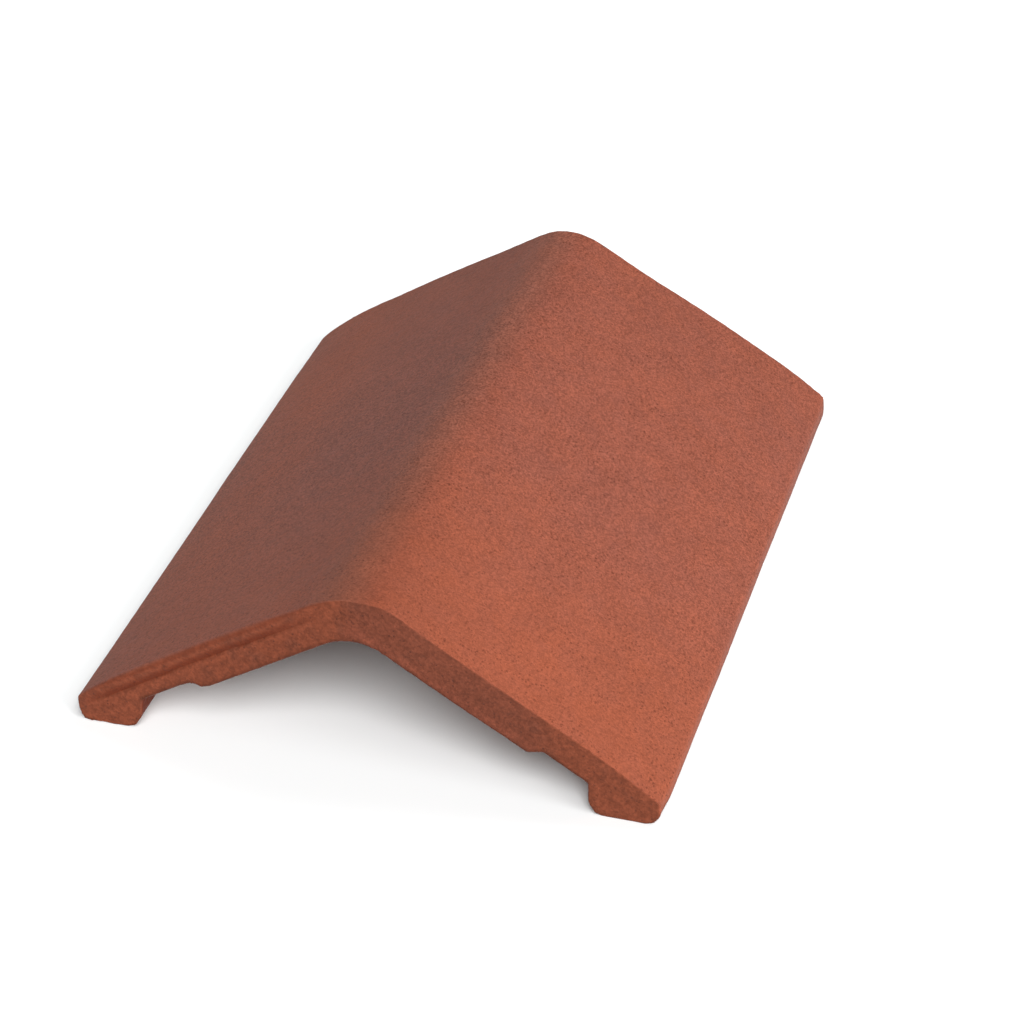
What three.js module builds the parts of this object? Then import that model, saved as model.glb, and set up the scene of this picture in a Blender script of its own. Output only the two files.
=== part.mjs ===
// An angle ridge tile in sanded terracotta: two plain wings that meet in a rounded crest,
// with a bedding foot along each eave and a wall that steps thinner above each foot.
// Millimetres, +Z up, +Y along the ridge, the origin on the floor under the middle of the tile.
import * as THREE from "three";

// Driving dimensions
const LENGTH = 300; // along the ridge, end face to end face
const HALF_WIDTH = 123.2; // from the ridge axis to the outermost line of an eave
const PITCH = THREE.MathUtils.degToRad(32); // slope of a wing, so the wings meet at 116 degrees
const CREST_HEIGHT = 90.8; // where the outer planes of the wings would meet if the crest weren't round
const CREST_RADIUS = 37; // outside of the crest
const HOLLOW_RADIUS = 24.5; // inside of the crest

const WALL = 19; // thickness from the crest to the step
const THIN_WALL = 14.1; // thickness from the step to the foot
const STEP_ALONG = 93; // from the crest to the step, along the slope
const STEP_RUN = WALL - THIN_WALL; // the step is a 45 degree ramp
const STEP_EDGE_RADIUS = 1.8;

const FOOT_WIDTH = 29.4; // from the eave in to the foot's inner side
const FOOT_HEEL_RADIUS = 7; // between the foot's underside and its inner side
const FOOT_TOE_RADIUS = 7; // between the foot's underside and the eave
const FOOT_ROOT_RADIUS = 2; // where the foot's inner side runs into the wall

const DROOP_ALONG = 126; // middle of the slow bend towards the eave, along the slope
const DROOP_PITCH = THREE.MathUtils.degToRad(38); // slope of the last strip above the eave
const DROOP_RADIUS = 320;
const EAVE_RADIUS = 4; // between that strip and the upright side of the eave

const ARRIS_RADIUS = 1.5; // rounding of the edges around both end faces
const ARRIS_FACETS = 3;
const DEGREES_PER_FACET = 5; // a curve turns by no more than this from one facet to the next
const LONGEST_FACET = 5; // and no facet of a curve is longer than this
const CLAY = new THREE.MeshStandardMaterial({ color: 0xb2624b, roughness: 0.85, metalness: 0 });

// A point of the right wing: so far along the slope from the crest, and so deep below its outer face.
function wingPoint(along, depth) {
  const x = along * Math.cos(PITCH) - depth * Math.sin(PITCH);
  const z = CREST_HEIGHT - along * Math.sin(PITCH) - depth * Math.cos(PITCH);
  return new THREE.Vector2(x, z);
}

// The corners of the right half of the section, from the crest over the wing and the foot to the hollow.
function rightHalfCorners() {
  const footInside = HALF_WIDTH - FOOT_WIDTH;
  const droop = wingPoint(DROOP_ALONG, 0);
  const eaveZ = droop.y - (HALF_WIDTH - droop.x) * Math.tan(DROOP_PITCH);
  const rootZ = wingPoint(0, THIN_WALL).y - (footInside - wingPoint(0, THIN_WALL).x) * Math.tan(PITCH);
  return [
    { point: droop, radius: DROOP_RADIUS },
    { point: new THREE.Vector2(HALF_WIDTH, eaveZ), radius: EAVE_RADIUS },
    { point: new THREE.Vector2(HALF_WIDTH, 0), radius: FOOT_TOE_RADIUS },
    { point: new THREE.Vector2(footInside, 0), radius: FOOT_HEEL_RADIUS },
    { point: new THREE.Vector2(footInside, rootZ), radius: FOOT_ROOT_RADIUS },
    { point: wingPoint(STEP_ALONG + STEP_RUN, THIN_WALL), radius: STEP_EDGE_RADIUS },
    { point: wingPoint(STEP_ALONG, WALL), radius: STEP_EDGE_RADIUS },
  ];
}

// The whole section: crest, right half, hollow, then the right half's mirror image in reverse.
function sectionCorners() {
  const right = rightHalfCorners();
  const left = right.map(({ point, radius }) => ({ point: new THREE.Vector2(-point.x, point.y), radius }));
  const crest = { point: new THREE.Vector2(0, CREST_HEIGHT), radius: CREST_RADIUS };
  const hollow = { point: new THREE.Vector2(0, CREST_HEIGHT - WALL / Math.cos(PITCH)), radius: HOLLOW_RADIUS };
  return [crest, ...right, hollow, ...left.reverse()];
}

// The points of the arc that rounds one corner between its neighbours.
function roundedCorner(before, { point, radius }, after) {
  const toBefore = before.clone().sub(point).normalize();
  const toAfter = after.clone().sub(point).normalize();
  const halfAngle = Math.acos(THREE.MathUtils.clamp(toBefore.dot(toAfter), -1, 1)) / 2;
  const turn = Math.PI - 2 * halfAngle;
  const bisector = toBefore.clone().add(toAfter).normalize();
  const centre = point.clone().addScaledVector(bisector, radius / Math.sin(halfAngle));
  const start = point.clone().addScaledVector(toBefore, radius / Math.tan(halfAngle)).sub(centre);
  const direction = Math.sign(toAfter.cross(toBefore));
  const facets = Math.max(
    Math.ceil(THREE.MathUtils.radToDeg(turn) / DEGREES_PER_FACET),
    Math.ceil((turn * radius) / LONGEST_FACET),
  );
  const origin = new THREE.Vector2();
  return Array.from({ length: facets + 1 }, (_, i) =>
    start.clone().rotateAround(origin, (direction * turn * i) / facets).add(centre),
  );
}

function section() {
  const corners = sectionCorners();
  const neighbour = (i) => corners[(i + corners.length) % corners.length].point;
  const outline = corners.flatMap((corner, i) => roundedCorner(neighbour(i - 1), corner, neighbour(i + 1)));
  return new THREE.Shape(outline);
}

// The section is drawn in X and Y and pushed along Z, then turned so that it stands up along the ridge.
function ridgeTile() {
  const straight = LENGTH - 2 * ARRIS_RADIUS;
  const geometry = new THREE.ExtrudeGeometry(section(), {
    depth: straight,
    bevelThickness: ARRIS_RADIUS,
    bevelSize: ARRIS_RADIUS,
    bevelOffset: -ARRIS_RADIUS,
    bevelSegments: ARRIS_FACETS,
  });
  geometry.rotateX(Math.PI / 2);
  geometry.translate(0, straight / 2, 0);
  const tile = new THREE.Mesh(geometry, CLAY);
  tile.name = "ridge_tile";
  return tile;
}

const part = new THREE.Group();
part.add(ridgeTile());

export default part;
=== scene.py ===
"""A sanded terracotta ridge tile on a pale studio floor."""

import math

import bmesh
import bpy
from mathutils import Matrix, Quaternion, Vector, noise


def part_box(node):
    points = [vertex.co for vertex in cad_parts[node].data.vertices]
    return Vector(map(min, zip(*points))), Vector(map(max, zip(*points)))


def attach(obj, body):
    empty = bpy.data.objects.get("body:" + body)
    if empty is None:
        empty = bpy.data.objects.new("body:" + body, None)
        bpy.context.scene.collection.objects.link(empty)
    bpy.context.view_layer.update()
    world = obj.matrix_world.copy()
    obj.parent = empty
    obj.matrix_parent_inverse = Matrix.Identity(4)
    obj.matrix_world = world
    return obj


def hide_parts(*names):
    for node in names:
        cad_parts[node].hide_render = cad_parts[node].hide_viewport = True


MM = 0.001

# How finely each face of the tile is cut up before its surface is shaped
WING_PITCH = 1.35 * MM
UNDERSIDE_PITCH = 5 * MM
STEP_PITCH = 1 * MM
END_PITCH = 1.4 * MM
FAR_END_PITCH = 2 * END_PITCH
LIP_PITCH = 0.45 * MM
LIP_REACH = 11 * MM
LENGTH_CUTS = 186

# How close two places count as one, how flat one face is, and what counts as outer, as an end or as long
WELD_GAP = 0.005 * MM
CUT_SNAP = 0.02 * MM
FLAT_WITHIN = math.radians(0.3)
OUTER_TURN = 0.2
END_TURN = 0.99
LONG_SHARE = 0.9

# How far below a wing its ends are cut up, as a share of the tile's height
DEEPEST_SHARE = 0.6

# The crest, whose facets are evened out between the ends
CREST_REACH = 30 * MM
CREST_TURN = 0.5
CREST_ENDS = 3 * MM
CREST_ROUNDS = 12
CREST_SMOOTHING = 0.5

# How the fired tile departs from its clean section, with the stretches over which each change comes and
# goes
PINCH = 1.4 * MM
PINCH_COMES_X = (3 * MM, 20 * MM)
PINCH_GOES_X = (20 * MM, 70 * MM)
PINCH_RUN = 40 * MM
LIFT = 2.0 * MM
LIFT_X = (25 * MM, 100 * MM)
SPLAY = {-1: 1.9 * MM, 1: 0.6 * MM}
SPLAY_X = (85 * MM, 122 * MM)
DRAWN_IN = 1.0 * MM
DRAWN_IN_RUN = 16 * MM
FEET_KEPT_Z = (1 * MM, 9 * MM)
SAG = 0.9 * MM
SAG_COMES_X = (0 * MM, 20 * MM)
SAG_GOES_X = (88 * MM, 100 * MM)
SAG_DEPTH = (4 * MM, 17 * MM)

# The uneven near edge of the crest: where it dips or swells, as place and reach across the tile, and height
EDGE_WAVES = ((-21 * MM, 16 * MM, -1.3 * MM), (13 * MM, 11 * MM, 1.1 * MM))
EDGE_RUN = 26 * MM
EDGE_DEPTH = 8 * MM

# Places where the wet clay was pushed: middle, reach and move, across and up the section
LEFT_STEP = (Vector((-72, 26.2)) * MM, 9 * MM, Vector((3.4, 2.3)) * MM)
STEP_NOSE = (Vector((-69, 25.5)) * MM, 2.6 * MM, Vector((-1.4, 0.2)) * MM)
STEP_HOLLOW = (Vector((-75.5, 26.8)) * MM, 2.6 * MM, Vector((0.6, -0.1)) * MM)
LEFT_HEEL = (Vector((-95, 3)) * MM, 7 * MM, Vector((-1.3, 1.4)) * MM)
LEFT_TOE = (Vector((-119, 2)) * MM, 6 * MM, Vector((-0.2, -2.0)) * MM)
RIGHT_TOE = (Vector((121, 4)) * MM, 7 * MM, Vector((0.6, 0)) * MM)
PUSHES = (LEFT_STEP, STEP_NOSE, STEP_HOLLOW, LEFT_HEEL, LEFT_TOE, RIGHT_TOE)
STEP_X = (-82 * MM, -62 * MM)

# Relief of the clay, as wavelength, height and seed, how far from an end it reaches, and a seed's offset
SWELL = (85 * MM, 0.3 * MM, 1)
DIMPLE = (22 * MM, 0.14 * MM, 2)
SAND_RIPPLE = (4.4 * MM, 0.07 * MM, 3)
CUT_END = (3.4 * MM, 0.16 * MM, 5)
CUT_END_REACH = (0.2 * MM, 1.2 * MM)
ARRIS_WOBBLE = (4.5 * MM, 0.18 * MM, 6)
ARRIS_REACH = (0.4 * MM, 2.2 * MM)
SEED_STEP = (1, 1.7, -2.3)

# The rounding of the arrises, a little fuller than an arc, and drawn out to a crisp edge along the top of
# the right wing and under the feet
ARRIS_RADIUS = 1.5 * MM
ARRIS_FULLNESS = 0.6 * MM
CRISP_FROM_X = (-20 * MM, 0)
CRISP_TURN = (0.1, 0.6)
SOLE_TURN = (0.5, 0.95)
SOLE_Z = (0.5 * MM, 4 * MM)
LEAST_TURN = 0.01
SHARPEST_BEND = math.radians(40)

# The far corners of the wings, worn round: reach across and along the tile, and the run that gives way
WORN_CORNERS = {-1: (34 * MM, 12 * MM), 1: (3 * MM, 3 * MM)}
WORN_RUN = 40 * MM

# The crease under the left wing's near edge: a rounded lip above it, a sharp ledge and a gentle slope below
CREASE_BELOW = 7.3 * MM
CREASE_DEPTH = 1.1 * MM
CREASE_FROM_END = 0.5 * MM
LIP_FROM = 2.6 * MM
LIP_ROUNDING = 1.6
LEDGE = 0.5 * MM
LEDGE_SHARE = 0.8
SLOPE = 3.4 * MM
CREASE_WAVER = (38 * MM, 0.7 * MM, 7)
CREASE_COMES_X = (-126 * MM, -104 * MM)
CREASE_GOES_X = (-40 * MM, -10 * MM)

# Where shade is painted on the clay: in the crease from these depths, along the left arris and on the inner
# sides of the feet
CREASE_SHADE_BELOW = (3.0 * MM, 6.0 * MM)
ARRIS_SHADE_COMES = (0.4 * MM, 1.0 * MM)
ARRIS_SHADE_GOES = (1.3 * MM, 3.2 * MM)
ARRIS_PAINTED_SHADE = 0.55
INNER_SIDE_PAINTED_SHADE = 1.5
INNER_SIDE_TURN = (0.62, 0.92)

# How far the surface turns down or towards an end before the clay is bare, further on a crisp arris
UNDERNEATH_TURN = (0.1, -0.3)
BARE_TURN = (0.6, 0.95)
BARE_TURN_CRISP = (0.2, 0.02)

# Colours of the clay and its sand, and of the sheen, shade and light painted on it
ORANGE_CLAY = (0.28, 0.068, 0.03, 1)
ROSE_CLAY = (0.184, 0.062, 0.0452, 1)
RIDGE_PAINTED_SHEEN = (0.4, 0.33, 0.27, 1)
LEFT_WING_PAINTED_SHEEN = (0.58, 0.48, 0.45, 1)
DARK_SAND = (0.09, 0.023, 0.013, 1)
PALE_SAND = (0.36, 0.125, 0.075, 1)
CUT_CLAY = (0.168, 0.0432, 0.0208, 1)
DULL_CUT_CLAY = (0.148, 0.0405, 0.0218, 1)
FLOOR_LIT_CUT_CLAY = (0.19, 0.051, 0.028, 1)
BROWN_CLAY = (0.11, 0.036, 0.022, 1)
PIT_COLOUR = (0.06, 0.018, 0.012, 1)
PAINTED_SHADE_CLAY = (0.105, 0.016, 0.0045, 1)

# Stretches across and along the wings over which their colour changes
LEFT_WING_X = (-20 * MM, 0.0)
LEFT_EAVE_X = (-100 * MM, -45 * MM)
LEFT_FLANK_X = (-30 * MM, -6 * MM)
RIDGE_COMES_X = (-24 * MM, -9 * MM)
RIDGE_GOES_X = (-4 * MM, 10 * MM)
FLANKS_X = (0.0, 50 * MM)
NEAR_HALF_Y = (-150 * MM, -10 * MM)
NEAR_CREST_Y = (-150 * MM, -30 * MM)
NEAR_RIDGE_Y = (-70 * MM, 0.0)
LEFT_EAVE_Y = (-130 * MM, -60 * MM)
LEFT_FAR_Y = (10 * MM, 120 * MM)
LEFT_SAND_Y = (20 * MM, 110 * MM)
FAR_FLANKS_Y = (60 * MM, 140 * MM)

# How rosy and how dark the wings are there, with painted shade and painted sheen, from the start of a stretch
# to its end
ROSINESS = (0.24, 0.6)
LEFT_ROSINESS = (0.16, 0.0)
LEFT_EAVE_ROSINESS = (-0.3, 0.0)
LEFT_FAR_ROSINESS = (0.0, -0.18)
CLOUD_ROSINESS = (-0.06, 0.06)
RIDGE_SHADE = (0.88, 0.95)
FLANK_SHADE = (1.02, 0.97)
NEAR_RIDGE_PAINTED_SHADE = 0.93
RIDGE_SHEEN_SHARE = 0.055
LEFT_WING_SHEEN_SHARE = 0.05

# Sand in the wings: the size of a grain, how much grains differ, and specks as spacing, radius and share
SAND_GRAIN = 0.62 * MM
SANDINESS = (0.3, 0.56)
LEFT_SANDINESS = (0.3, -0.3)
DARK_SPECKS = (1.5 * MM, 0.54 * MM, 0.8)
DARK_STRENGTH = (0.3, 0.7)
DARK_STRENGTH_RANGE = (0.35, 0.65)
LEFT_FAR_STRENGTH = (0.0, -0.4)
PALE_SPECKS = (1.7 * MM, 0.3 * MM, 0.3)
PALE_STRENGTH = 0.25
SPECK_STIR = (1.1 * MM, 1.8 * MM, 11)
SPECK_EDGE = (0.5, 1.2)
FULL_SPECKS = 0.4

# Stretches across the cut ends, and below the wings, over which their colour changes
RIGHT_WALL_COMES_X = (-10 * MM, 3 * MM)
RIGHT_WALL_GOES_X = (60 * MM, 92 * MM)
FEET_X = (84 * MM, 100 * MM)
FEET_DEPTH = (9 * MM, 14 * MM)
CUT_DEPTH = (4 * MM, 12 * MM)
BELOW_CREASE_X = (-30 * MM, -5 * MM)
BELOW_CREASE_COMES = (7 * MM, 8 * MM)
BELOW_CREASE_GOES = (9 * MM, 13 * MM)
LOWER_EDGE_DEPTH = (13 * MM, 17 * MM)

# How the cut ends and the underside are shaded, given painted light and painted shade, browned and pitted
FEET_SHADE = 1.1
CUT_SHADE = (1.04, 0.97)
BELOW_CREASE_PAINTED_LIGHT = 1.1
LOWER_EDGE_PAINTED_LIGHT = 0.6
BROWN_RANGE = (0.52, 0.7)
BROWN_STRENGTH = 0.35
CUT_GRAIN = 0.9 * MM
CUT_GRAIN_SHADE = (0.86, 1.14)
PITS = (2.1 * MM, 0.5 * MM, 0.55)
PIT_STRENGTH = 0.5
UNDERSIDE_PAINTED_SHADE = 0.7
PAINTED_SHADE_STRENGTH = 0.65

# Clouds in the clay, as size, seed and detail, with the range that they swing through
ROSE_CLOUD = (60 * MM, 1, 2)
ROSE_PATCH = (9 * MM, 2, 2)
TONE_CLOUD = (14 * MM, 3, 3)
TONE_FLECK = (1.6 * MM, 4, 2)
SPECK_CLOUD = (22 * MM, 5, 2)
BROWN_CLOUD = (9 * MM, 6, 4)
CUT_MOTTLE = (3.0 * MM, 7, 2)
CLOUD_RANGE = (0.3, 0.7)
FLECK_RANGE = (0.25, 0.75)
TONE_CLOUD_SHADE = (0.96, 1.04)
TONE_FLECK_SHADE = (0.93, 1.07)
CUT_MOTTLE_SHADE = (0.88, 1.12)

# Fine relief in the material: clouds as above, and heights in bump units
BUMP_UNIT = 1 * MM
SAND_BUMP = (2.6 * MM, 8, 2)
SAND_BUMP_HEIGHT = 0.3
FINE_BUMP = (0.9 * MM, 9, 2)
FINE_BUMP_HEIGHT = 0.12
SPECK_HEIGHT = -0.04
CUT_BUMP = (1.5 * MM, 10, 3)
CUT_BUMP_HEIGHT = 0.4
PIT_HEIGHT = -0.3

# Gloss of the clay, rougher on its dark specks
CLAY_ROUGHNESS = (0.84, 0.95)
CLAY_SPECULAR = 0.12
CLAY_SHEEN = 0.06
CLAY_SHEEN_ROUGHNESS = 0.3

# Studio lights: compass angle from +X towards +Y and height above the floor in degrees, and strength
LIGHT_SPREAD = math.radians(34)
LIGHTS = {
    "key": (-20, 25, 2.14),
    "front_fill": (-68, 45, 2.98),
    "rear_fill": (51, 52, 1.08),
}
ROOM_LIGHT = 0.1

# Camera and floor
CAMERA_PLACE = Vector((0.32185, -0.94208, 0.71498))
CAMERA_AIM = Vector((0.01796, -0.0039, 0.03127))
CAMERA_ROLL = math.radians(-1.336)
CAMERA_LENS_MM = 97.587
CAMERA_SENSOR_MM = 36
FLOOR_SIDE = 40.0
FLOOR_DROP = 0.3 * MM
FLOOR_PAINT = (0.93, 0.944, 0.945, 1)
FLOOR_ROUGHNESS = 0.9


def smooth_step(start, end, value):
    """0 up to start, 1 from end on, and an even rise between. The start may be the greater of the two."""
    share = min(max((value - start) / (end - start), 0.0), 1.0)
    return share * share * (3 - 2 * share)


def ripple(place, wave):
    """Even noise of a given wavelength and height at a place, offset by its seed so that layers differ."""
    length, height, seed = wave
    offset = Vector([step * seed for step in SEED_STEP])
    return height * noise.noise(place / length + offset)


def wing_face(node, side):
    """The middle and the outward normal of a wing's outer face, the largest that looks up on that side."""
    faces = [p for p in node.data.polygons if p.normal.x * side > 0 and p.normal.z > 0]
    largest = max(faces, key=lambda face: face.area)
    return largest.center.copy(), largest.normal.copy()


def below_wing(place, wing):
    """How deep a place lies below the outer face of a wing."""
    middle, normal = wing
    return (middle - place).dot(normal)


def evenly(low, high, pitch):
    """Places from low to high, without the low end, about a pitch apart."""
    count = max(1, round((high - low) / pitch))
    return [low + (high - low) * i / count for i in range(1, count + 1)]


def clean_solid(node):
    """A copy of the solid with its vertices shared and each flat face in one piece."""
    bm = bmesh.new()
    bm.from_mesh(node.data)
    bmesh.ops.remove_doubles(bm, verts=bm.verts, dist=WELD_GAP)
    bmesh.ops.dissolve_limit(bm, angle_limit=FLAT_WITHIN, verts=bm.verts, edges=bm.edges)
    return bm


def cut(bm, faces, place, normal):
    """Cuts the given faces along a plane and keeps both sides."""
    edges = {edge for face in faces for edge in face.edges}
    verts = {vert for face in faces for vert in face.verts}
    geom = [*verts, *edges, *faces]
    bmesh.ops.bisect_plane(bm, geom=geom, dist=CUT_SNAP, plane_co=place, plane_no=normal)


def looks_out(face):
    """Whether a face belongs to the wings or the ends."""
    return face.normal.z > OUTER_TURN or abs(face.normal.y) > OUTER_TURN


def looks_down(face):
    """Whether a face belongs to the underside."""
    return face.normal.z < 0


def slice_across(bm, places, chosen):
    """Cuts the chosen faces square across the tile at each place."""
    for x in places:
        cut(bm, [face for face in bm.faces if chosen(face)], (x, 0, 0), (1, 0, 0))


def slice_end(bm, end, side, wing, depths):
    """Cuts one half of an end face parallel to the wing above it, at the given depths below the wing."""
    middle, normal = wing
    for depth in depths:
        half = [
            f for f in bm.faces
            if f.normal.y * end > END_TURN and f.calc_center_median().x * side > 0
        ]
        cut(bm, half, middle - depth * normal, normal)


def cut_up(bm, low, high, wings):
    """Cuts the solid into small cells: finest on the wings and the near end, coarser underneath."""
    slice_across(bm, evenly(low.x, high.x, WING_PITCH), looks_out)
    slice_across(bm, evenly(low.x, high.x, UNDERSIDE_PITCH), looks_down)
    slice_across(bm, evenly(*STEP_X, STEP_PITCH), looks_down)
    deepest = DEEPEST_SHARE * (high.z - low.z)
    for side, wing in wings.items():
        lip = evenly(0, LIP_REACH, LIP_PITCH if side < 0 else END_PITCH)
        slice_end(bm, -1, side, wing, lip + evenly(LIP_REACH, deepest, END_PITCH))
        slice_end(bm, 1, side, wing, evenly(0, deepest, FAR_END_PITCH))
    long = LONG_SHARE * (high.y - low.y)
    long_edges = [e for e in bm.edges if abs(e.verts[0].co.y - e.verts[1].co.y) > long]
    bmesh.ops.subdivide_edges(bm, edges=long_edges, cuts=LENGTH_CUTS, use_grid_fill=True)


def round_crest(bm, high):
    """Evens out the facets of the crest."""
    crest = [
        v for v in bm.verts
        if abs(v.co.x) < CREST_REACH and v.normal.z > CREST_TURN and abs(v.co.y) < high.y - CREST_ENDS
    ]
    for _ in range(CREST_ROUNDS):
        bmesh.ops.smooth_vert(bm, verts=crest, factor=CREST_SMOOTHING, use_axis_x=True, use_axis_z=True)


def crisp_share(place, normal):
    """How crisp the arris is at a place, from 0 to 1 along the top of the right wing and under the feet."""
    upwards = normal.z / max(math.hypot(normal.x, normal.z), LEAST_TURN)
    top = smooth_step(*CRISP_FROM_X, place.x) * smooth_step(*CRISP_TURN, upwards)
    sole = (1 - smooth_step(*SOLE_Z, place.z)) * smooth_step(*SOLE_TURN, -upwards)
    return max(top, sole)


def sharpen_arris(bm, high):
    """Draws the rounded arrises out to a crisp edge where they are crisp, at both ends."""
    bm.normal_update()
    for vert in bm.verts:
        from_end = high.y - abs(vert.co.y)
        if from_end < ARRIS_RADIUS:
            share = crisp_share(vert.co, vert.normal)
            set_back = ARRIS_RADIUS - math.sqrt(ARRIS_RADIUS ** 2 - (ARRIS_RADIUS - from_end) ** 2)
            if from_end > set_back:
                vert.co += share * set_back * Vector((vert.normal.x, 0, vert.normal.z)).normalized()
            vert.co.y += share * math.copysign(from_end, vert.co.y)


def crest_pinch(place, low):
    """How far the flanks of the crest are pinched in, fading out at the near end."""
    from_ridge = abs(place.x)
    share = smooth_step(*PINCH_COMES_X, from_ridge) * (1 - smooth_step(*PINCH_GOES_X, from_ridge))
    return PINCH * share * smooth_step(low.y, low.y + PINCH_RUN, place.y)


def wall_sag(place, wing):
    """How far the right wall sags below its outer face."""
    share = smooth_step(*SAG_COMES_X, place.x) * (1 - smooth_step(*SAG_GOES_X, place.x))
    return SAG * share * smooth_step(*SAG_DEPTH, below_wing(place, wing))


def edge_wave(place, low, wing):
    """How far the near edge of the crest dips or swells, fading out along the tile and downwards."""
    height = sum(move * math.exp(-(((place.x - x) / reach) ** 2)) for x, reach, move in EDGE_WAVES)
    height *= 1 - smooth_step(low.y, low.y + EDGE_RUN, place.y)
    return height * (1 - smooth_step(0, EDGE_DEPTH, below_wing(place, wing)))


def corner_wear(place, high):
    """How far the far end is worn back at a place near the corner of a wing."""
    across, along = WORN_CORNERS[1 if place.x > 0 else -1]
    share = min(max(1 - (high.x - abs(place.x)) / across, 0.0), 1.0)
    run = max((place.y - high.y) / WORN_RUN + 1, 0.0)
    return along * (1 - math.sqrt(1 - share ** 2)) * run


def warp(place, low, high, wings):
    """How far firing and wear moved a place: up, down, in or out, and back at the far corners."""
    far = smooth_step(low.y, high.y, place.y)
    lift = LIFT * far * smooth_step(*LIFT_X, place.x)
    side = 1 if place.x > 0 else -1
    fall = crest_pinch(place, low) + wall_sag(place, wings[1])
    rise_or_fall = lift + edge_wave(place, low, wings[side]) - fall
    outwards = SPLAY[side] * far
    if side > 0:
        outwards -= DRAWN_IN * (1 - smooth_step(low.y, low.y + DRAWN_IN_RUN, place.y))
    outwards *= side * smooth_step(*SPLAY_X, abs(place.x))
    upwards = rise_or_fall * smooth_step(*FEET_KEPT_Z, place.z)
    return Vector((outwards, -corner_wear(place, high), upwards))


def pushed(place):
    """How far a place moves, where the wet clay was pushed."""
    move = Vector((0, 0))
    for middle, reach, shift in PUSHES:
        distance = (Vector((place.x, place.z)) - middle).length
        move += shift * math.exp(-((distance / reach) ** 2))
    return Vector((move.x, 0, move.y))


def bend(bm, low, high, wings):
    """Bends the clean section to the tile as it was fired."""
    for vert in bm.verts:
        vert.co += pushed(vert.co) + warp(vert.co, low, high, wings)
        vert.co.z = max(vert.co.z, low.z)


def crease_share(place):
    """How strong the crease is at a place across the tile, from 0 to 1."""
    return smooth_step(*CREASE_COMES_X, place.x) * (1 - smooth_step(*CREASE_GOES_X, place.x))


def crease_sink(below):
    """How far the near end face sinks at a depth below the wing, as a share of the crease's depth."""
    if below < CREASE_BELOW:
        return max(0.0, (below - LIP_FROM) / (CREASE_BELOW - LIP_FROM)) ** LIP_ROUNDING
    ledge = 1 - smooth_step(CREASE_BELOW, CREASE_BELOW + LEDGE, below)
    slope = 1 - smooth_step(CREASE_BELOW, CREASE_BELOW + SLOPE, below)
    return LEDGE_SHARE * ledge + (1 - LEDGE_SHARE) * slope


def lip_painted_shade(below, share):
    """How much shade is painted on the lip at a depth below the wing: along its arris and, in the crease, on
    its underside.
    """
    if below > CREASE_BELOW:
        return 0.0
    line = smooth_step(*ARRIS_SHADE_COMES, below) * (1 - smooth_step(*ARRIS_SHADE_GOES, below))
    return ARRIS_PAINTED_SHADE * line + share * smooth_step(*CREASE_SHADE_BELOW, below)


def bare_share(normal, underneath, crisp):
    """How bare of sand the clay is, from 0 to 1 on the cut ends and underneath."""
    turn = [soft + more * crisp for soft, more in zip(BARE_TURN, BARE_TURN_CRISP)]
    return max(smooth_step(*turn, abs(normal.y)), underneath)


def clay_relief(place, normal, from_end, crisp):
    """How far the surface stands out at a place: swells, sand, rough ends and slightly uneven arrises."""
    height = ripple(place, SWELL) + ripple(place, DIMPLE) + ripple(place, SAND_RIPPLE)
    end = 1 - smooth_step(*CUT_END_REACH, from_end)
    height += end * ripple(place, CUT_END)
    arris = 1 - smooth_step(*ARRIS_REACH, from_end)
    height -= arris * (1 - abs(normal.y)) * abs(ripple(place, ARRIS_WOBBLE))
    halfway = 4 * normal.y ** 2 * (1 - normal.y ** 2)
    return height + ARRIS_FULLNESS * halfway ** 2 * (1 - crisp)


def press_relief(bm, low, high, wings):
    """Moves the vertices in and out, and notes how bare, deep and far underneath the clay is, and how much
    shade is painted on it.
    """
    bare = bm.verts.layers.float.new("bare")
    depth = bm.verts.layers.float.new("depth")
    underneath = bm.verts.layers.float.new("underneath")
    painted_shade = bm.verts.layers.float.new("painted_shade")
    bm.normal_update()
    moves = []
    for vert in bm.verts:
        place, normal = vert.co, vert.normal
        crisp = crisp_share(place, normal)
        move = normal * clay_relief(place, normal, high.y - abs(place.y), crisp)
        inwards = -normal.x if place.x > 0 else normal.x
        # Shade painted on the inner sides of the feet
        vert[painted_shade] = INNER_SIDE_PAINTED_SHADE * smooth_step(*INNER_SIDE_TURN, inwards)
        vert[depth] = below_wing(place, wings[1 if place.x > 0 else -1])
        if place.x < 0 and place.y < low.y + CREASE_FROM_END:
            below = below_wing(place, wings[-1]) + ripple(place, CREASE_WAVER)
            share = crease_share(place)
            move.y += CREASE_DEPTH * share * crease_sink(below)
            # Shade painted into the crease and along the left arris
            vert[painted_shade] = lip_painted_shade(below, share)
            vert[depth] = below
        vert[underneath] = smooth_step(*UNDERNEATH_TURN, normal.z)
        vert[bare] = bare_share(normal, vert[underneath], crisp)
        moves.append(move)
    for vert, move in zip(bm.verts, moves):
        vert.co += move
        vert.co.z = max(vert.co.z, low.z)


def build_tile(node):
    """The fired tile, worked from a copy of the clean solid."""
    low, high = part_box("ridge_tile")
    wings = {side: wing_face(node, side) for side in (-1, 1)}
    bm = clean_solid(node)
    cut_up(bm, low, high, wings)
    round_crest(bm, high)
    sharpen_arris(bm, high)
    bend(bm, low, high, wings)
    press_relief(bm, low, high, wings)
    mesh = bpy.data.meshes.new("sanded_ridge_tile")
    bm.to_mesh(mesh)
    bm.free()
    mesh.shade_smooth()
    mesh.set_sharp_from_angle(angle=SHARPEST_BEND)
    piece = bpy.data.objects.new("sanded_ridge_tile", mesh)
    bpy.context.scene.collection.objects.link(piece)
    return piece


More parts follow.
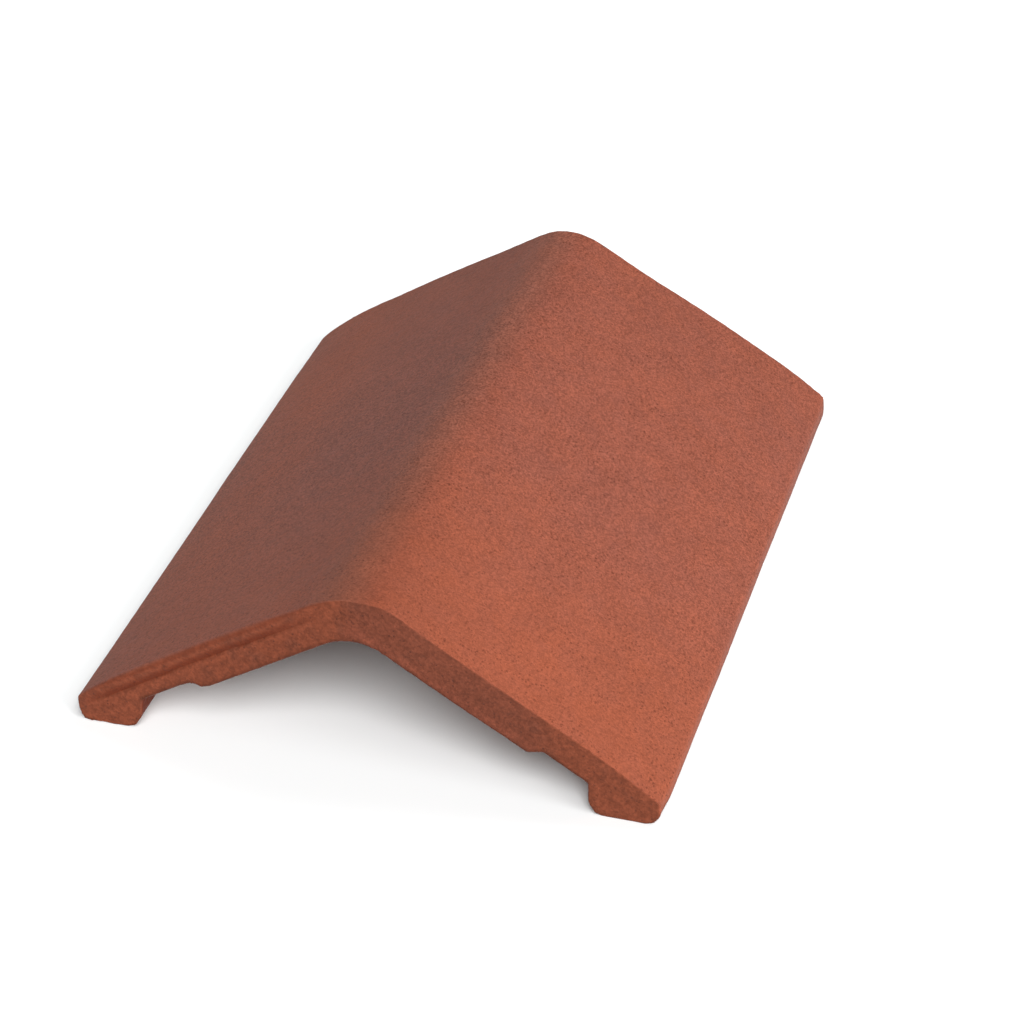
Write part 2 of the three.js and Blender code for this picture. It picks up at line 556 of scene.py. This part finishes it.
def shader_node(tree, kind, inputs, **settings):
    """A new shader node, with its settings made and its inputs set to values or linked to outputs."""
    node = tree.nodes.new("ShaderNode" + kind)
    for name, value in settings.items():
        setattr(node, name, value)
    for key, value in inputs.items():
        if isinstance(value, bpy.types.NodeSocket):
            tree.links.new(value, node.inputs[key])
        else:
            node.inputs[key].default_value = value
    return node


def noted(tree, name):
    """A value that was noted on the mesh."""
    return shader_node(tree, "Attribute", {}, attribute_name=name).outputs["Fac"]


def combine(tree, operation, first, second):
    """The result of an operation on two values."""
    return shader_node(tree, "Math", {0: first, 1: second}, operation=operation).outputs["Value"]


def times(tree, value, factor):
    """A value multiplied by a factor."""
    return combine(tree, "MULTIPLY", value, factor)


def plus(tree, first, *others):
    """The sum of several values."""
    for other in others:
        first = combine(tree, "ADD", first, other)
    return first


def rise(tree, value, low, high, start=0.0, end=1.0):
    """An even rise from start to end, while a value goes from low to high."""
    inputs = {"Value": value, "From Min": low, "From Max": high, "To Min": start, "To Max": end}
    return shader_node(tree, "MapRange", inputs, interpolation_type="SMOOTHSTEP").outputs["Result"]


def band(tree, value, comes, goes):
    """1 between the stretches where it comes and goes, and 0 outside them."""
    return times(tree, rise(tree, value, *comes), rise(tree, value, *goes, 1.0, 0.0))


def blend(tree, share, first, second):
    """A colour between two colours."""
    mix = shader_node(tree, "Mix", {0: share, 6: first, 7: second}, data_type="RGBA")
    return mix.outputs[2]


def shade(tree, colour, factor):
    """A colour made lighter or darker by a factor."""
    inputs = {0: colour, "Scale": factor}
    return shader_node(tree, "VectorMath", inputs, operation="SCALE").outputs["Vector"]


def shade_where(tree, colour, share, factor):
    """A colour made lighter or darker by a factor where a share is 1, and kept where it is 0."""
    return shade(tree, colour, rise(tree, share, 0.0, 1.0, 1.0, factor))


def cloud(tree, place, pattern):
    """Soft noise of a given size, seed and detail, from 0 to 1."""
    size, seed, detail = pattern
    inputs = {"Vector": place, "Scale": 1 / size, "W": seed, "Detail": detail}
    return shader_node(tree, "TexNoise", inputs, noise_dimensions="4D").outputs["Fac"]


def mottle(tree, place, colour, pattern, swing, shades):
    """A colour shaded by a cloud, from one shade to the other while the cloud goes through its swing."""
    return shade(tree, colour, rise(tree, cloud(tree, place, pattern), *swing, *shades))


def stirred(tree, place, size, amount, seed):
    """Places shifted about at random, so that what is drawn there loses its even form."""
    inputs = {"Vector": place, "Scale": 1 / size, "W": seed, "Detail": 1.0}
    swirl = shader_node(tree, "TexNoise", inputs, noise_dimensions="4D").outputs["Color"]
    shift = shader_node(tree, "VectorMath", {0: swirl, 1: (0.5, 0.5, 0.5)}, operation="SUBTRACT")
    inputs = {0: shift.outputs["Vector"], 1: (amount, amount, amount), 2: place}
    return shader_node(tree, "VectorMath", inputs, operation="MULTIPLY_ADD").outputs["Vector"]


def grains(tree, place, size):
    """Sand grains of about a size: the distance from each grain's middle, and a random shade of the grain."""
    cells = shader_node(tree, "TexVoronoi", {"Vector": place, "Scale": 1 / size, "Randomness": 1.0})
    shades = shader_node(tree, "SeparateColor", {"Color": cells.outputs["Color"]}).outputs
    return cells.outputs["Distance"], shades["Red"]


def specks(tree, place, spacing, radius, share):
    """Specks about a spacing apart, of which a share shows: 0 outside, up to 1 inside the strongest."""
    distance, pick = grains(tree, place, spacing)
    inner, outer = (edge * radius / spacing for edge in SPECK_EDGE)
    inside = rise(tree, distance, inner, outer, 1.0, 0.0)
    return times(tree, inside, rise(tree, pick, 1 - share, 1 - FULL_SPECKS * share))


def wing_clay(tree, place, across, along, left):
    """Clay of the wings: orange near by, and rosier further back and on the left."""
    left_eave = rise(tree, across, *LEFT_EAVE_X, *LEFT_EAVE_ROSINESS)
    rosiness = plus(
        tree,
        rise(tree, along, *NEAR_HALF_Y, *ROSINESS),
        rise(tree, across, *LEFT_FLANK_X, *LEFT_ROSINESS),
        times(tree, left_eave, rise(tree, along, *LEFT_EAVE_Y)),
        times(tree, left, rise(tree, along, *LEFT_FAR_Y, *LEFT_FAR_ROSINESS)),
        rise(tree, cloud(tree, place, ROSE_CLOUD), *CLOUD_RANGE, *CLOUD_ROSINESS),
        rise(tree, cloud(tree, place, ROSE_PATCH), *CLOUD_RANGE, *CLOUD_ROSINESS),
    )
    return blend(tree, rosiness, ORANGE_CLAY, ROSE_CLAY)


def ridge_shade_and_sheen(tree, colour, across, along):
    """The wings' colour: darker towards the ridge, with painted shade on the near ridge and a painted sheen
    along it.
    """
    from_ridge = combine(tree, "ABSOLUTE", across, 0.0)
    ridge_shade = rise(tree, along, *NEAR_CREST_Y, *RIDGE_SHADE)
    flank_shade = rise(tree, along, *FAR_FLANKS_Y, *FLANK_SHADE)
    colour = shade(tree, colour, rise(tree, from_ridge, *FLANKS_X, ridge_shade, flank_shade))
    ridge = band(tree, across, RIDGE_COMES_X, RIDGE_GOES_X)
    near_ridge = times(tree, ridge, rise(tree, along, *NEAR_RIDGE_Y, 1.0, 0.0))
    # Shade painted on the ridge near the near end, where it turns from light to shade
    colour = shade_where(tree, colour, near_ridge, NEAR_RIDGE_PAINTED_SHADE)
    # A pale sheen painted along the ridge
    return blend(tree, times(tree, ridge, RIDGE_SHEEN_SHARE), colour, RIDGE_PAINTED_SHEEN)


def sand_grains(tree, place, colour, along, left):
    """The wings' colour, varied from grain to grain: more so further back, but on the left in the middle."""
    _, grain = grains(tree, place, SAND_GRAIN)
    sandiness = rise(tree, along, *NEAR_HALF_Y, *SANDINESS)
    left_change = times(tree, left, rise(tree, along, *LEFT_SAND_Y, *LEFT_SANDINESS))
    sandiness = times(tree, sandiness, plus(tree, left_change, 1.0))
    return shade(tree, colour, plus(tree, times(tree, plus(tree, grain, -0.5), sandiness), 1.0))


def sand_specks(tree, place, colour, along, left):
    """The wings' colour with dark and pale specks of sand, and where the dark ones are."""
    strength = rise(tree, cloud(tree, place, SPECK_CLOUD), *DARK_STRENGTH_RANGE, *DARK_STRENGTH)
    left_change = times(tree, left, rise(tree, along, *LEFT_SAND_Y, *LEFT_FAR_STRENGTH))
    strength = times(tree, strength, plus(tree, left_change, 1.0))
    dark = specks(tree, stirred(tree, place, *SPECK_STIR), *DARK_SPECKS)
    colour = blend(tree, times(tree, dark, strength), colour, DARK_SAND)
    pale = specks(tree, place, *PALE_SPECKS)
    return blend(tree, times(tree, pale, PALE_STRENGTH), colour, PALE_SAND), dark


def sanded_face(tree, place):
    """Colour of the sanded wings, with a painted sheen on the ridge and the left wing, and where its dark
    specks are.
    """
    across, along, _ = shader_node(tree, "SeparateXYZ", {"Vector": place}).outputs
    left = rise(tree, across, *LEFT_WING_X, 1.0, 0.0)
    colour = wing_clay(tree, place, across, along, left)
    colour = ridge_shade_and_sheen(tree, colour, across, along)
    colour = mottle(tree, place, colour, TONE_CLOUD, CLOUD_RANGE, TONE_CLOUD_SHADE)
    colour = mottle(tree, place, colour, TONE_FLECK, FLECK_RANGE, TONE_FLECK_SHADE)
    colour = sand_grains(tree, place, colour, along, left)
    colour, dark = sand_specks(tree, place, colour, along, left)
    # A pale sheen painted over the left wing
    return blend(tree, times(tree, left, LEFT_WING_SHEEN_SHARE), colour, LEFT_WING_PAINTED_SHEEN), dark


def cut_face(tree, place, depth):
    """Colour of the cut ends: duller on the right wall, redder and lighter at its lower edge with painted
    light from the floor, lighter below the left crease with painted light, and where it is pitted.
    """
    across = shader_node(tree, "SeparateXYZ", {"Vector": place}).outputs["X"]
    right_wall = band(tree, across, RIGHT_WALL_COMES_X, RIGHT_WALL_GOES_X)
    colour = blend(tree, right_wall, CUT_CLAY, DULL_CUT_CLAY)
    feet = rise(tree, combine(tree, "ABSOLUTE", across, 0.0), *FEET_X)
    feet = times(tree, feet, rise(tree, depth, *FEET_DEPTH))
    colour = shade_where(tree, colour, feet, FEET_SHADE)
    colour = shade(tree, colour, rise(tree, depth, *CUT_DEPTH, *CUT_SHADE))
    # Light painted on the upward ledge below the left crease
    left = rise(tree, across, *BELOW_CREASE_X, 1.0, 0.0)
    below_crease = times(tree, left, band(tree, depth, BELOW_CREASE_COMES, BELOW_CREASE_GOES))
    colour = shade_where(tree, colour, below_crease, BELOW_CREASE_PAINTED_LIGHT)
    # Light from the floor painted on the right wall's lower edge, lighter and redder
    lower_edge = times(tree, right_wall, rise(tree, depth, *LOWER_EDGE_DEPTH))
    colour = blend(tree, times(tree, lower_edge, LOWER_EDGE_PAINTED_LIGHT), colour, FLOOR_LIT_CUT_CLAY)
    brown = rise(tree, cloud(tree, place, BROWN_CLOUD), *BROWN_RANGE, 0.0, BROWN_STRENGTH)
    colour = blend(tree, brown, colour, BROWN_CLAY)
    colour = mottle(tree, place, colour, CUT_MOTTLE, CLOUD_RANGE, CUT_MOTTLE_SHADE)
    _, grain = grains(tree, place, CUT_GRAIN)
    colour = shade(tree, colour, rise(tree, grain, 0.0, 1.0, *CUT_GRAIN_SHADE))
    pits = specks(tree, place, *PITS)
    return blend(tree, times(tree, pits, PIT_STRENGTH), colour, PIT_COLOUR), pits


def clay_bump(tree, place, bare, dark, pits):
    """The fine relief of the sand, and of the rougher clay where it is bare."""
    sand = plus(
        tree,
        times(tree, cloud(tree, place, SAND_BUMP), SAND_BUMP_HEIGHT),
        times(tree, cloud(tree, place, FINE_BUMP), FINE_BUMP_HEIGHT),
        times(tree, dark, SPECK_HEIGHT),
    )
    rough_cut = plus(tree, cloud(tree, place, CUT_BUMP), times(tree, pits, PIT_HEIGHT))
    height = plus(tree, sand, times(tree, times(tree, rough_cut, CUT_BUMP_HEIGHT), bare))
    inputs = {"Height": height, "Distance": BUMP_UNIT, "Strength": 1.0}
    return shader_node(tree, "Bump", inputs).outputs["Normal"]


def fired_clay():
    """The tile's clay: sanded on the wings, bare on the ends and underneath, with painted shade underneath
    and in places.
    """
    material = bpy.data.materials.new("fired_clay")
    material.use_nodes = True
    tree = material.node_tree
    shader = tree.nodes["Principled BSDF"]
    place = shader_node(tree, "TexCoord", {}).outputs["Object"]
    bare = noted(tree, "bare")

    sanded, dark = sanded_face(tree, place)
    cut_clay, pits = cut_face(tree, place, noted(tree, "depth"))
    # Shade painted on the underside, darker than the cut ends
    cut_clay = shade_where(tree, cut_clay, noted(tree, "underneath"), UNDERSIDE_PAINTED_SHADE)
    clay = blend(tree, bare, sanded, cut_clay)
    # Shade painted into the colour in the crease, along the left arris and on the inner sides of the feet
    clay = blend(tree, times(tree, noted(tree, "painted_shade"), PAINTED_SHADE_STRENGTH), clay, PAINTED_SHADE_CLAY)

    tree.links.new(clay, shader.inputs["Base Color"])
    tree.links.new(clay_bump(tree, place, bare, dark, pits), shader.inputs["Normal"])
    tree.links.new(rise(tree, dark, 0.0, 1.0, *CLAY_ROUGHNESS), shader.inputs["Roughness"])
    shader.inputs["Specular IOR Level"].default_value = CLAY_SPECULAR
    shader.inputs["Sheen Weight"].default_value = CLAY_SHEEN
    shader.inputs["Sheen Roughness"].default_value = CLAY_SHEEN_ROUGHNESS
    return material


def floor_paint():
    """Matt pale paint for the floor."""
    material = bpy.data.materials.new("pale_floor")
    material.use_nodes = True
    shader = material.node_tree.nodes["Principled BSDF"]
    shader.inputs["Base Color"].default_value = FLOOR_PAINT
    shader.inputs["Roughness"].default_value = FLOOR_ROUGHNESS
    return material


def build_floor():
    """A wide plain floor, just below the tile's feet."""
    bm = bmesh.new()
    bmesh.ops.create_grid(bm, x_segments=1, y_segments=1, size=FLOOR_SIDE / 2)
    bmesh.ops.translate(bm, verts=bm.verts, vec=(0, 0, -FLOOR_DROP))
    mesh = bpy.data.meshes.new("studio_floor")
    bm.to_mesh(mesh)
    bm.free()
    floor = bpy.data.objects.new("studio_floor", mesh)
    bpy.context.scene.collection.objects.link(floor)
    floor.data.materials.append(floor_paint())


def soft_light(name, compass, height, strength):
    """A broad soft light from far away."""
    light = bpy.data.lights.new(name, "SUN")
    light.angle = LIGHT_SPREAD
    light.energy = strength
    lamp = bpy.data.objects.new(name, light)
    around, up = math.radians(compass), math.radians(height)
    source = Vector((math.cos(up) * math.cos(around), math.cos(up) * math.sin(around), math.sin(up)))
    lamp.rotation_euler = source.to_track_quat("Z", "Y").to_euler()
    bpy.context.scene.collection.objects.link(lamp)


def light_studio():
    """The soft lights, and a little even light from the room."""
    world = bpy.data.worlds.new("studio")
    world.use_nodes = True
    background = world.node_tree.nodes["Background"]
    background.inputs["Color"].default_value = (1, 1, 1, 1)
    background.inputs["Strength"].default_value = ROOM_LIGHT
    bpy.context.scene.world = world
    for name, (compass, height, strength) in LIGHTS.items():
        soft_light(name, compass, height, strength)
    bpy.context.scene.view_settings.view_transform = "Standard"


def place_camera():
    """The camera at the photograph's viewing angle."""
    lens = bpy.data.cameras.new("camera")
    lens.sensor_width = CAMERA_SENSOR_MM
    lens.lens = CAMERA_LENS_MM
    camera = bpy.data.objects.new("camera", lens)
    camera.location = CAMERA_PLACE
    level = (CAMERA_AIM - CAMERA_PLACE).to_track_quat("-Z", "Y")
    camera.rotation_euler = (level @ Quaternion((0, 0, 1), CAMERA_ROLL)).to_euler()
    bpy.context.scene.collection.objects.link(camera)
    bpy.context.scene.camera = camera


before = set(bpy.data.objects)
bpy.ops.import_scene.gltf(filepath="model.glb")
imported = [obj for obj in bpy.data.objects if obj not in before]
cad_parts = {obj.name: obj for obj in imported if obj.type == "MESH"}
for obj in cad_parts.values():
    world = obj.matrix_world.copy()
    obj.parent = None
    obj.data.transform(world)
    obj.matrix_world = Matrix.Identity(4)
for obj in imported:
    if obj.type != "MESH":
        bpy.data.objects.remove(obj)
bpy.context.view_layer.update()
place_camera()
tile = build_tile(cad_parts["ridge_tile"])
tile.data.materials.append(fired_clay())
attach(tile, "root")
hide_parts("ridge_tile")
build_floor()
light_studio()
